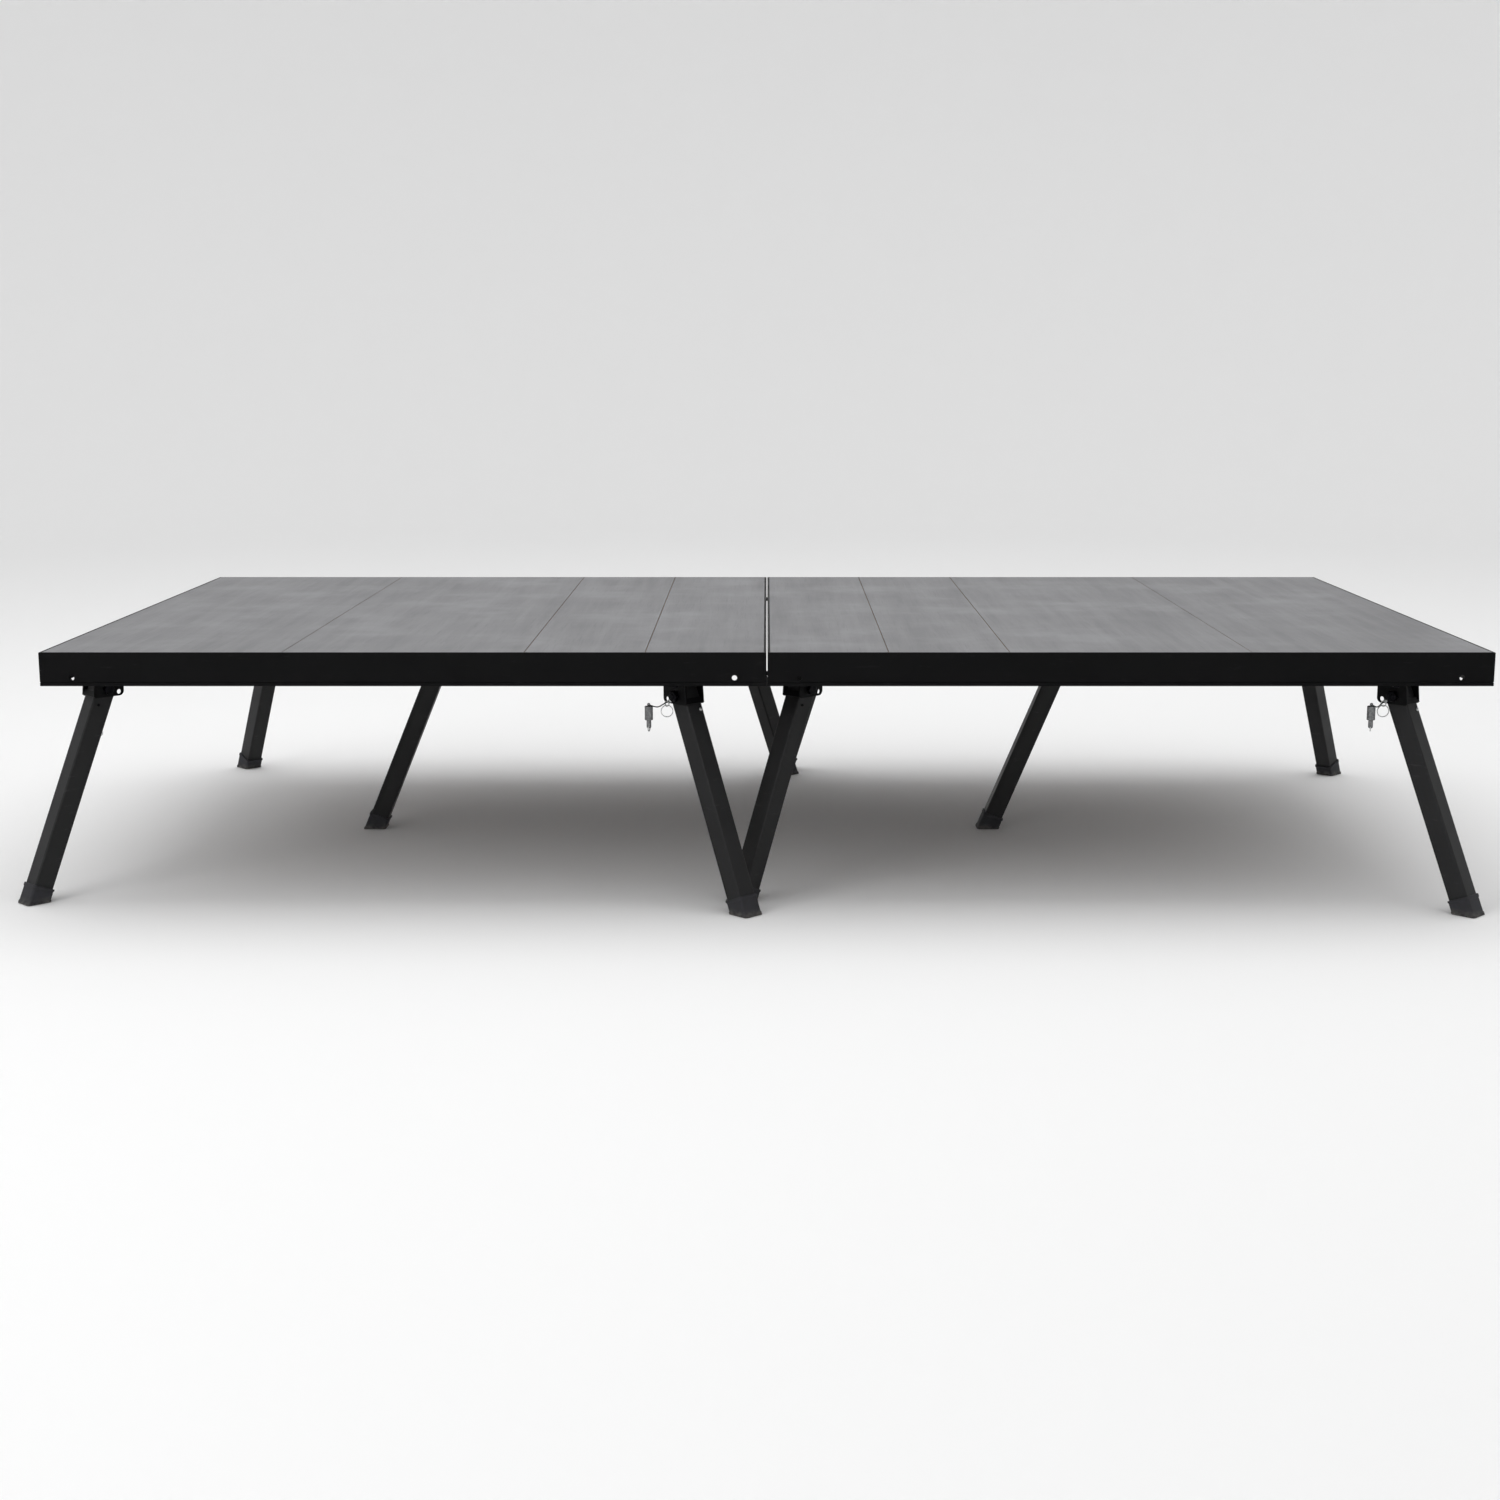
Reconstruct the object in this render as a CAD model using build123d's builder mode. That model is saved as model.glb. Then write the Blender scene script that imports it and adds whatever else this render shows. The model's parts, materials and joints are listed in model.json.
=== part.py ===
"""Stage riser platform: two square decks joined side by side, each on five folding legs.

Units are millimetres. The origin is on the floor under the middle of the platform, +Z is up,
+X runs along the long side and the front edge faces -Y.

Each deck is a frame of four hollow rails with a raised lip, four joists and four boards that lie
inside the lip. A square leg leans outwards at each corner, turned a quarter turn from the last
one, so that neighbouring decks can stand edge to edge without their legs meeting. A fifth leg
stands in the middle. Every leg hangs on a bolt in a U-shaped bracket, rests on the bracket's stop
strap when it is open, and folds inwards until it lies flat under the frame.
"""

import os
from math import cos, pi, radians, sin, sqrt, tan

from build123d import *

# Decks
DECK_SIDE = 1219.0  # one square deck, outside
DECK_GAP = 2.0  # between the two decks
DECK_TOP = 440.0  # height of the walking surface
BOARD_THICK = 12.0
BOARD_PLAY = 1.0  # round each board
BOARD_SHARES = (0, 1 / 6, 1 / 3, 2 / 3, 1)  # board edges across a deck, from the shared joint
BOARD_BREAK = 0.6  # chamfer on the boards' top edges
LIP_BREAK = 0.8  # chamfer on the lip's outer edge

# Frame
RAIL_HIGH = 57.0  # outer face of a rail, lip included
RAIL_WIDE = 25.0
RAIL_WALL = 3.0
RAIL_BREAK = 0.6  # chamfer on a rail's bottom edges
GROOVE_UP = 5.5  # drip groove above the rail's bottom edge
GROOVE_HIGH = 1.6
GROOVE_DEEP = 0.8
JOIST_WIDE = 25.0
JOIST_WALL = 2.0
JOIST_CORNER = 2.5
JOIST_PLACES = (-375.0, -75.0, 75.0, 375.0)  # from the middle of a deck
LINK_HOLE_R = 4.5  # clearance for M8
LINK_HOLE_IN = 53.5  # from each end of a rail
LINK_HOLE_UP = 14.0  # above the rail's bottom edge
LINK_ACCESS_R = 10.0  # wider hole in a rail's inner wall, which lets a socket in to the bolt

# Legs
LEAN = 22.5  # degrees from upright
NEAR_INSET = 60.0  # from a leg's pivot to the nearer edge of its deck
FAR_INSET = 140.0  # and to the other edge
CENTRE_PIVOT = (-22.0, 22.0)  # the middle leg's pivot, from the middle of a deck
PIVOT_DROP = 24.0  # pivot below the frame
LEG_SIDE = 35.0
LEG_WALL = 2.0
LEG_CORNER = 3.0
LEG_TOP = 10.0  # above the pivot
SHOE_SIDE = 41.0
SHOE_CORNER = 5.0
SHOE_LONG = 30.0  # along the leg's middle line
SHOE_SOLE = 6.0

# Leg brackets
PLATE = 3.0
CHEEK_GAP = 36.0  # inside the bracket
FLANGE_HALF = 34.0  # half the width over the bolted flanges
BASE_HALF = 30.0
CHEEK_DROP = 38.0  # bottom of the cheeks below the frame
CHEEK_OUT = 24.0  # outer edge of the cheeks, from the pivot
CHEEK_IN = 30.0  # inner edge
CHEEK_FLARE = 3.0  # the outer edge leans out this far at its foot
CHEEK_ROUND_IN, CHEEK_ROUND_OUT = 9.0, 4.0  # the cheeks' lower corners
PLATE_CORNER = 4.0
SHARP = 0.01  # radius of a corner that is left sharp
STRAP_FROM, STRAP_TO = 11.0, 21.0  # stop strap, down the leg from the pivot
STRAP_PLAY = 0.3
SHELF_THICK = 4.0
SHELF_REACH = 92.0
SHELF_HALF = 50.0  # from the pivot to a shelf's end away from the corner
SHELF_START = 100.0  # from the deck's corner, so that nothing stands behind the link holes
SHELF_UP = 36.0
CENTRE_PLATE = 120.0
PIN_HOLE = (-21.0, -7.0)  # lock-pin hole from the pivot: outwards, up
PIN_PLAY = 0.3
ANCHOR = (-13.0, -10.0)  # lanyard rivet from the pivot

# Fasteners and lock pins
PIVOT_R = 5.0
PIVOT_PLAY = 0.05
HEX_PIVOT, HEAD_PIVOT, NUT_PIVOT = 17.0, 6.4, 8.0  # across flats, head height, nut height
SMALL_BOLT_R, HEX_SMALL, HEAD_SMALL = 3.0, 10.0, 4.0
SMALL_BOLT_PLACES = ((-18.0, -27.5), (8.0, -27.5), (-18.0, 27.5), (8.0, 27.5))
LINK_R, HEX_LINK, HEAD_LINK, NUT_LINK = 4.0, 13.0, 5.3, 6.8
PROUD_PIVOT, PROUD_SMALL, PROUD_LINK = 2.0, 4.0, 3.0  # how far each bolt's end stands out
PIN_R, PIN_LONG = 4.0, 14.0
GRIP_R, GRIP_LONG, GRIP_ROUND = 7.0, 24.0, 1.2
CORD_R = 1.0
RIVET_R, RIVET_HIGH = 3.6, 3.4
RIVET_SINK = 0.4  # how far a lanyard's end sits in its rivet
FERRULE_R = 2.8  # swaged ball on the lanyard's end, in one piece with the pin
FERRULE_SINK = 0.4  # how far the ball sits in the grip
LINK_RING_R, SPLIT_RING_R, RING_WIRE = 4.6, 10.0, 0.9
RING_FROM_RIVET = 4.4
RING_PLAY = 0.1  # between a ring and what it hangs on
SPLIT_RING_TURN = -40.0  # the split ring hangs askew, clear of the bracket

FRAME_BOTTOM = DECK_TOP - RAIL_HIGH
BOX_TOP = DECK_TOP - BOARD_THICK
PIVOT_Z = FRAME_BOTTOM - PIVOT_DROP
HALF = DECK_SIDE / 2
LINK_HOLE_PLACES = (LINK_HOLE_IN - HALF, HALF - LINK_HOLE_IN)  # from the middle of a rail
DECK_CENTRES = {"module_a": -(HALF + DECK_GAP / 2), "module_b": HALF + DECK_GAP / 2}
ALONG = cos(radians(LEAN))
ACROSS = sin(radians(LEAN))
FLOOR_REACH = PIVOT_Z / ALONG  # down the leg from the pivot to the floor
UP = Vector(0, 0, 1)

# Each leg: pivot in its deck, direction that it leans in degrees
STATIONS = {
    "front_left": (-HALF + NEAR_INSET, -HALF + FAR_INSET, 225),
    "front_right": (HALF - FAR_INSET, -HALF + NEAR_INSET, 315),
    "back_right": (HALF - NEAR_INSET, HALF - FAR_INSET, 45),
    "back_left": (-HALF + FAR_INSET, HALF - NEAR_INSET, 135),
    "centre": (*CENTRE_PIVOT, 180),
}

# Lanyards: (inwards, sideways, up) from the pivot, starting at the rivet's head.
# The short steel ropes are stiff, so they stand out from the bracket before they droop.
LANYARDS = {
    "front_left": ((13, 24.0, -10), (14, 35, -13), (17, 46, -23), (20, 54, -36), (22, 58, -50)),
    "front_right": ((13, 24.0, -10), (13, 36, -13), (11, 49, -17), (10, 61, -15), (11, 72, -10)),
    "back_right": ((13, 24.0, -10), (15, 34, -12), (18, 45, -20), (19, 54, -31), (19, 60, -44)),
    "back_left": ((13, 24.0, -10), (12, 35, -14), (10, 46, -21), (9, 57, -28), (10, 66, -38)),
    "centre": ((13, 24.0, -10), (14, 36, -12), (17, 47, -18), (20, 57, -27), (21, 64, -38)),
}
ARC_SHARE = 0.45  # of the shorter run, as every bend of a lanyard takes


def outward(turn):
    """The level direction in which a leg leans."""
    return Vector(cos(radians(turn)), sin(radians(turn)), 0)


def sideways(turn):
    """The level direction along a leg's pivot bolt."""
    return Vector(-sin(radians(turn)), cos(radians(turn)), 0)


def pivots():
    """Every leg's name, pivot and direction."""
    for deck, centre in DECK_CENTRES.items():
        for station, (x, y, turn) in STATIONS.items():
            yield deck, station, Vector(centre + x, y, PIVOT_Z), turn


def level_plane(pivot, turn, up=0.0):
    """x outwards, y along the pivot bolt, z up."""
    return Plane(origin=pivot + UP * up, x_dir=outward(turn), z_dir=UP)


def side_plane(pivot, turn, across=0.0):
    """x outwards, y up; its normal runs back along the pivot bolt."""
    side = sideways(turn)
    return Plane(origin=pivot + side * across, x_dir=outward(turn), z_dir=side * -1)


def leg_plane(pivot, turn, down=0.0):
    """Square to a leg, with its normal down the leg; x is the leg's outer face."""
    out = outward(turn)
    axis = out * ACROSS - UP * ALONG
    return Plane(origin=pivot + axis * down, x_dir=out * ALONG + UP * ACROSS, z_dir=axis)


def save(builder, label):
    """Labels a finished piece and writes it to its own file."""
    builder.part.label = label
    export_step(builder.part, f"parts/{label}.step")


def make_rail(label, centre, turn):
    """A rail with mitred ends: box section below the boards, lip beside them, link holes."""
    run = outward(turn)
    inward = sideways(turn)
    middle = Vector(centre, 0, 0) - inward * HALF
    with BuildPart() as rail:
        with BuildSketch(Plane(origin=middle - run * HALF, x_dir=inward, z_dir=run)):
            with BuildLine():
                groove = FRAME_BOTTOM + GROOVE_UP
                Polyline(
                    (RAIL_BREAK, FRAME_BOTTOM),
                    (RAIL_WIDE - RAIL_BREAK, FRAME_BOTTOM),
                    (RAIL_WIDE, FRAME_BOTTOM + RAIL_BREAK),
                    (RAIL_WIDE, BOX_TOP),
                    (RAIL_WALL, BOX_TOP),
                    (RAIL_WALL, DECK_TOP),
                    (LIP_BREAK, DECK_TOP),
                    (0, DECK_TOP - LIP_BREAK),
                    (0, groove + GROOVE_HIGH),
                    (GROOVE_DEEP, groove + GROOVE_HIGH / 2),
                    (0, groove),
                    (0, FRAME_BOTTOM + RAIL_BREAK),
                    close=True,
                )
            make_face()
            with Locations((RAIL_WIDE / 2, (FRAME_BOTTOM + BOX_TOP) / 2)):
                hollow = BOX_TOP - FRAME_BOTTOM - 2 * RAIL_WALL
                Rectangle(RAIL_WIDE - 2 * RAIL_WALL, hollow, mode=Mode.SUBTRACT)
        extrude(amount=DECK_SIDE)
        for end in (-1, 1):
            corner = middle + run * (HALF * end)
            mitre = Plane(origin=corner, z_dir=run * -end - inward)
            split(bisect_by=mitre, keep=Keep.TOP)
        for depth, radius in ((0, LINK_HOLE_R), (RAIL_WIDE / 2, LINK_ACCESS_R)):
            face = middle + inward * depth
            with BuildSketch(Plane(origin=face, x_dir=run, z_dir=inward * -1)):
                with Locations(*[(x, FRAME_BOTTOM + LINK_HOLE_UP) for x in LINK_HOLE_PLACES]):
                    Circle(radius)
            extrude(amount=-RAIL_WIDE / 2, mode=Mode.SUBTRACT)
    save(rail, label)


def board_edge(share, way):
    """A board's edge from the shared joint: half the play off a seam, or clear inside the lip.
    way is 1 for the near edge and -1 for the far one."""
    inset = BOARD_PLAY / 2 if 0 < share < 1 else RAIL_WALL + BOARD_PLAY
    return share * DECK_SIDE + way * inset


def make_board(label, centre, near, far, flip):
    """A board from near to far, as shares of the deck's width counted from the shared joint."""
    start, end = board_edge(near, 1), board_edge(far, -1)
    x = centre + flip * ((start + end) / 2 - HALF)
    deep = DECK_SIDE - 2 * (RAIL_WALL + BOARD_PLAY)
    with BuildPart() as board:
        with BuildSketch(Plane.XY.offset(BOX_TOP)):
            with Locations((x, 0)):
                Rectangle(end - start, deep)
        extrude(amount=BOARD_THICK)
        chamfer(board.faces().sort_by(Axis.Z)[-1].edges(), BOARD_BREAK)
    save(board, label)


def make_joists(label, centre):
    """Rectangular tubes across a deck, between the side rails."""
    long = DECK_SIDE - 2 * RAIL_WIDE
    with BuildPart() as joists:
        with BuildSketch(Plane.YZ.offset(centre - long / 2)):
            with Locations(*[(y, (FRAME_BOTTOM + BOX_TOP) / 2) for y in JOIST_PLACES]):
                RectangleRounded(JOIST_WIDE, BOX_TOP - FRAME_BOTTOM, JOIST_CORNER)
                inside = BOX_TOP - FRAME_BOTTOM - 2 * JOIST_WALL
                Rectangle(JOIST_WIDE - 2 * JOIST_WALL, inside, mode=Mode.SUBTRACT)
        extrude(amount=long)
    save(joists, label)


def make_shelves(label, deck):
    """What the brackets bolt to: an angle on a rail at each corner, a plate in the middle."""
    with BuildPart() as shelves:
        for name, station, pivot, turn in pivots():
            if name != deck:
                continue
            if station == "centre":
                between = JOIST_PLACES[2] - JOIST_PLACES[1] - JOIST_WIDE
                with BuildSketch(Plane.XY.offset(FRAME_BOTTOM)):
                    with Locations((pivot.X, 0)):
                        Rectangle(CENTRE_PLATE, between)
                extrude(amount=SHELF_THICK)
                continue
            # The nearer rail lies NEAR_INSET from the pivot, 45 degrees off the leg's lean.
            to_rail = outward(turn - 45)
            face = pivot + to_rail * (NEAR_INSET - RAIL_WIDE) + UP * (FRAME_BOTTOM - PIVOT_Z)
            angle = Plane(origin=face, x_dir=to_rail * -1, z_dir=UP.cross(to_rail))
            with BuildSketch(angle.offset(-SHELF_HALF)):
                with BuildLine():
                    Polyline(
                        (0, 0),
                        (SHELF_REACH, 0),
                        (SHELF_REACH, SHELF_THICK),
                        (SHELF_THICK, SHELF_THICK),
                        (SHELF_THICK, SHELF_UP),
                        (0, SHELF_UP),
                        close=True,
                    )
                make_face()
            extrude(amount=SHELF_HALF + FAR_INSET - SHELF_START)
        for name, _, pivot, turn in pivots():
            if name == deck:
                with BuildSketch(level_plane(pivot, turn, FRAME_BOTTOM - PIVOT_Z)):
                    with Locations(*SMALL_BOLT_PLACES):
                        Circle(SMALL_BOLT_R)
                extrude(amount=SHELF_THICK, mode=Mode.SUBTRACT)
    save(shelves, label)


def make_brackets(label, deck):
    """Folded plate brackets: flanged base, two cheeks, and a stop strap on the outer side."""
    top = PIVOT_DROP
    low = PIVOT_DROP - CHEEK_DROP
    with BuildPart() as brackets:
        for name, _, pivot, turn in pivots():
            if name != deck:
                continue
            with BuildSketch(level_plane(pivot, turn, top - PLATE)):
                RectangleRounded(2 * BASE_HALF, 2 * FLANGE_HALF, PLATE_CORNER)
                with Locations(*SMALL_BOLT_PLACES):
                    Circle(SMALL_BOLT_R, mode=Mode.SUBTRACT)
            extrude(amount=PLATE)
            for across in (-CHEEK_GAP / 2, CHEEK_GAP / 2 + PLATE):
                with BuildSketch(side_plane(pivot, turn, across)):
                    with BuildLine():
                        FilletPolyline(
                            (-CHEEK_IN, top - PLATE),
                            (-CHEEK_IN, low),
                            (CHEEK_OUT + CHEEK_FLARE, low),
                            (CHEEK_OUT, top - PLATE),
                            close=True,
                            radius=[SHARP, CHEEK_ROUND_IN, CHEEK_ROUND_OUT, SHARP],
                        )
                    make_face()
                    Circle(PIVOT_R + PIVOT_PLAY, mode=Mode.SUBTRACT)
                    with Locations(PIN_HOLE):
                        Circle(PIN_R + PIN_PLAY, mode=Mode.SUBTRACT)
                extrude(amount=PLATE)
            strap = LEG_SIDE / 2 + STRAP_PLAY
            with BuildSketch(leg_plane(pivot, turn, STRAP_FROM)):
                with Locations((strap + PLATE / 2, 0)):
                    Rectangle(PLATE, CHEEK_GAP + 2 * PLATE)
            extrude(amount=STRAP_TO - STRAP_FROM)
    save(brackets, label)


def make_leg(label, pivot, turn):
    """A square tube, cut level above the shoe's sole, with the pivot hole across its top."""
    with BuildPart() as leg:
        with BuildSketch(leg_plane(pivot, turn, -LEG_TOP)):
            RectangleRounded(LEG_SIDE, LEG_SIDE, LEG_CORNER)
            inside = LEG_SIDE - 2 * LEG_WALL
            RectangleRounded(inside, inside, LEG_CORNER - LEG_WALL, mode=Mode.SUBTRACT)
        extrude(amount=LEG_TOP + FLOOR_REACH + LEG_SIDE)
        split(bisect_by=Plane.XY.offset(SHOE_SOLE), keep=Keep.TOP)
        with BuildSketch(side_plane(pivot, turn, LEG_SIDE)):
            Circle(PIVOT_R + PIVOT_PLAY)
        extrude(amount=2 * LEG_SIDE, mode=Mode.SUBTRACT)
    save(leg, label)


def make_shoe(label, pivot, turn):
    """A moulded rubber shoe: its mouth is square to the leg and its sole lies flat."""
    with BuildPart(mode=Mode.PRIVATE) as core:
        with BuildSketch(leg_plane(pivot, turn, FLOOR_REACH - 2 * SHOE_LONG)):
            RectangleRounded(LEG_SIDE, LEG_SIDE, LEG_CORNER)
        extrude(amount=2 * SHOE_LONG + LEG_SIDE)
        split(bisect_by=Plane.XY.offset(SHOE_SOLE), keep=Keep.TOP)
    with BuildPart() as shoe:
        with BuildSketch(leg_plane(pivot, turn, FLOOR_REACH - SHOE_LONG)):
            RectangleRounded(SHOE_SIDE, SHOE_SIDE, SHOE_CORNER)
        extrude(amount=SHOE_LONG + SHOE_SIDE)
        split(bisect_by=Plane.XY, keep=Keep.TOP)
        add(core.part, mode=Mode.SUBTRACT)
    save(shoe, label)


def hexagon_radius(flats):
    """The radius to the corners of a hexagon of the given width across flats."""
    return flats / sqrt(3)


def make_pivot_fasteners():
    """Hex bolts through the brackets and legs, and their nuts."""
    reach = CHEEK_GAP / 2 + PLATE
    with BuildPart() as bolts:
        for _, _, pivot, turn in pivots():
            with BuildSketch(side_plane(pivot, turn, reach + HEAD_PIVOT)):
                RegularPolygon(hexagon_radius(HEX_PIVOT), 6)
            extrude(amount=HEAD_PIVOT)
            with BuildSketch(side_plane(pivot, turn, reach)):
                Circle(PIVOT_R)
            extrude(amount=2 * reach + NUT_PIVOT + PROUD_PIVOT)
    save(bolts, "pivot_bolts")
    with BuildPart() as nuts:
        for _, _, pivot, turn in pivots():
            with BuildSketch(side_plane(pivot, turn, -reach)):
                RegularPolygon(hexagon_radius(HEX_PIVOT), 6)
                Circle(PIVOT_R, mode=Mode.SUBTRACT)
            extrude(amount=NUT_PIVOT)
    save(nuts, "pivot_nuts")


def make_bracket_bolts():
    """Short hex screws up through each bracket's flanges into its shelf."""
    with BuildPart() as bolts:
        for _, _, pivot, turn in pivots():
            flange = PIVOT_DROP - PLATE
            with BuildSketch(level_plane(pivot, turn, flange - HEAD_SMALL)):
                with Locations(*SMALL_BOLT_PLACES):
                    RegularPolygon(hexagon_radius(HEX_SMALL), 6)
            extrude(amount=HEAD_SMALL)
            with BuildSketch(level_plane(pivot, turn, flange)):
                with Locations(*SMALL_BOLT_PLACES):
                    Circle(SMALL_BOLT_R)
            extrude(amount=PLATE + SHELF_THICK + PROUD_SMALL)
    save(bolts, "bracket_bolts")


def make_link_fasteners():
    """Bolts through the outer walls of the two neighbouring side rails, with heads and nuts inside."""
    reach = RAIL_WALL + DECK_GAP / 2
    places = [(y, FRAME_BOTTOM + LINK_HOLE_UP) for y in LINK_HOLE_PLACES]
    with BuildPart() as bolts:
        with BuildSketch(Plane.YZ.offset(-reach - HEAD_LINK)):
            with Locations(*places):
                RegularPolygon(hexagon_radius(HEX_LINK), 6)
        extrude(amount=HEAD_LINK)
        with BuildSketch(Plane.YZ.offset(-reach)):
            with Locations(*places):
                Circle(LINK_R)
        extrude(amount=2 * reach + NUT_LINK + PROUD_LINK)
    save(bolts, "link_bolts")
    with BuildPart() as nuts:
        with BuildSketch(Plane.YZ.offset(reach)):
            with Locations(*places):
                RegularPolygon(hexagon_radius(HEX_LINK), 6)
                Circle(LINK_R, mode=Mode.SUBTRACT)
        extrude(amount=NUT_LINK)
    save(nuts, "link_nuts")


def lanyard_points(station, pivot, turn):
    """A lanyard's route in the platform's frame."""
    out, side = outward(turn), sideways(turn)
    return [pivot - out * a - side * b + UP * c for a, b, c in LANYARDS[station]]


def bend_radii(points):
    """For each corner, the arc that takes ARC_SHARE of its shorter run."""
    radii = []
    for before, here, after in zip(points, points[1:], points[2:]):
        turn = radians((here - before).get_angle(after - here))
        shorter = min((here - before).length, (after - here).length)
        radii.append(ARC_SHARE * shorter / tan(turn / 2))
    return radii


def make_lanyard(label, station, pivot, turn):
    """A plastic-covered wire rope from the bracket's rivet to its lock pin."""
    points = lanyard_points(station, pivot, turn)
    radii = bend_radii(points)
    with BuildPart() as lanyard:
        with BuildLine() as path:
            FilletPolyline(*points, radius=radii)
        with BuildSketch(Plane(origin=points[0], z_dir=points[1] - points[0])):
            Circle(CORD_R)
        sweep(path=path.wires()[0])
    save(lanyard, label)
    long = path.wires()[0].length
    share = lanyard.part.volume / (long * pi * CORD_R**2)
    print(f"{label}: {long:.1f} mm, radii {[round(r, 1) for r in radii]}, volume share {share:.4f}")


def ring_place(centre, turn):
    """An upright ring's place; its axis is level and turned by turn."""
    return Plane(origin=centre, x_dir=UP, z_dir=outward(turn)).location


def make_pin_sets():
    """Lock pins that hang head up, the rivets that hold their lanyards, and the rings."""
    with BuildPart() as pins:
        for _, station, pivot, turn in pivots():
            end = lanyard_points(station, pivot, turn)[-1]
            with Locations(Location(end)):
                Sphere(FERRULE_R)
            grip = end - UP * (FERRULE_R - FERRULE_SINK)
            with BuildSketch(Plane(origin=grip, z_dir=UP * -1)):
                Circle(GRIP_R)
            extrude(amount=GRIP_LONG)
            with BuildSketch(Plane(origin=grip - UP * GRIP_LONG, z_dir=UP * -1)):
                Circle(PIN_R)
            extrude(amount=PIN_LONG)
        caps = pins.edges().filter_by(GeomType.CIRCLE)
        fillet(caps.filter_by(lambda edge: abs(edge.radius - GRIP_R) < SHARP), GRIP_ROUND)
    save(pins, "lock_pins")
    with BuildPart() as rivets:
        for _, _, pivot, turn in pivots():
            with BuildSketch(side_plane(pivot, turn, -CHEEK_GAP / 2 - PLATE)):
                with Locations(ANCHOR):
                    Circle(RIVET_R)
            extrude(amount=RIVET_HIGH)
    save(rivets, "lanyard_rivets")
    with BuildPart() as rings:
        for _, station, pivot, turn in pivots():
            start, after = lanyard_points(station, pivot, turn)[:2]
            along = (RING_FROM_RIVET + RIVET_SINK) / (after - start).length
            link = start + (after - start) * along - UP * (LINK_RING_R - RING_WIRE - CORD_R - RING_PLAY)
            with Locations(ring_place(link, turn + 90)):
                Torus(LINK_RING_R, RING_WIRE)
            drop = LINK_RING_R + SPLIT_RING_R - 2 * RING_WIRE - RING_PLAY
            with Locations(ring_place(link - UP * drop, turn + SPLIT_RING_TURN)):
                Torus(SPLIT_RING_R, RING_WIRE)
    save(rings, "lanyard_rings")


os.makedirs("parts", exist_ok=True)

for deck, centre in DECK_CENTRES.items():
    for side, turn in (("front", 0), ("right", 90), ("back", 180), ("left", 270)):
        make_rail(f"{deck}_rail_{side}", centre, turn)
    outwards = -1 if centre < 0 else 1
    for number, (near, far) in enumerate(zip(BOARD_SHARES, BOARD_SHARES[1:]), start=1):
        make_board(f"{deck}_board_{number}", centre, near, far, outwards)
    make_joists(f"{deck}_joists", centre)
    make_shelves(f"{deck}_leg_shelves", deck)
    make_brackets(f"{deck}_leg_brackets", deck)

for deck, station, pivot, turn in pivots():
    make_leg(f"{deck}_leg_{station}", pivot, turn)
    make_shoe(f"{deck}_shoe_{station}", pivot, turn)
    make_lanyard(f"{deck}_lanyard_{station}", station, pivot, turn)

make_pivot_fasteners()
make_bracket_bolts()
make_link_fasteners()
make_pin_sets()
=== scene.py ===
import json
import math

import bpy
import numpy as np
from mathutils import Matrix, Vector


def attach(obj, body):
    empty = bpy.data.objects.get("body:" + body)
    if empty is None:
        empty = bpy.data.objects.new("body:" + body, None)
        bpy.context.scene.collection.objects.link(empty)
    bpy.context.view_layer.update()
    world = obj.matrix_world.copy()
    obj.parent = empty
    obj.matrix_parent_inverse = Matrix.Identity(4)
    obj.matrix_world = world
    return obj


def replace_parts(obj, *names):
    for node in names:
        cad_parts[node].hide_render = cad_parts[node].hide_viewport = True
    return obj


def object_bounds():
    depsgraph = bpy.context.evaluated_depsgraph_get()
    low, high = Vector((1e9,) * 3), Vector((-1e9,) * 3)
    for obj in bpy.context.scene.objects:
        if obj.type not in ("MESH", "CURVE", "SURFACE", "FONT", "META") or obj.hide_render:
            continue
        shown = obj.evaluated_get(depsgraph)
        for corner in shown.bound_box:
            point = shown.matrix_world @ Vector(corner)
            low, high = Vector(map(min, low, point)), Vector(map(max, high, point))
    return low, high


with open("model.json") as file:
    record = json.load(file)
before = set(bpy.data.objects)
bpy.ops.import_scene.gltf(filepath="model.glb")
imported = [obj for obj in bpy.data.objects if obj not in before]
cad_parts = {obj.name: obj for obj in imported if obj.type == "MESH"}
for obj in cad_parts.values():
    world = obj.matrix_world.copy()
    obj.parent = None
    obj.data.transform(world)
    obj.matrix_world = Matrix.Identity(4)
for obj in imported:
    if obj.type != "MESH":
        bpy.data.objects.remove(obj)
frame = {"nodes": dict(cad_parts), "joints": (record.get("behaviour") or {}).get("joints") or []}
CAD_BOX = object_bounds()

MM = 0.001
DECKS = ("module_a", "module_b")
STATIONS = ("front_left", "front_right", "back_right", "back_left", "centre")
UP = np.array([0.0, 0.0, 1.0])

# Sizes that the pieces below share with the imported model
LEAN = math.radians(22.5)
DECK_TOP = CAD_BOX[1].z
LEG_SIDE = 35 * MM
LEG_CORNER = 3 * MM
SHOE_SIDE = 41 * MM
SHOE_LONG = 30 * MM
SOLE_DISH = 1.2 * MM
CHEEK_REACH = 21 * MM  # from a leg's middle to the outside of its bracket
FLANGE_DROP = 21 * MM  # from the bracket's flange down to the pivot
CORD_THICK = 2 * MM
KEEPER_RADIUS = 4.6 * MM
KEEPER_WIRE = 0.6 * MM
SMALL_RING_RADIUS = 4.6 * MM
SPLIT_RING_RADIUS = 10 * MM
RING_WIRE = 0.7 * MM
KNURL_DEPTH = 0.35 * MM
KNURL_START = 2.6 * MM
KNURL_END = 2.0 * MM  # from the end of the grip


# ---------------------------------------------------------------- places from the frame

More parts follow.
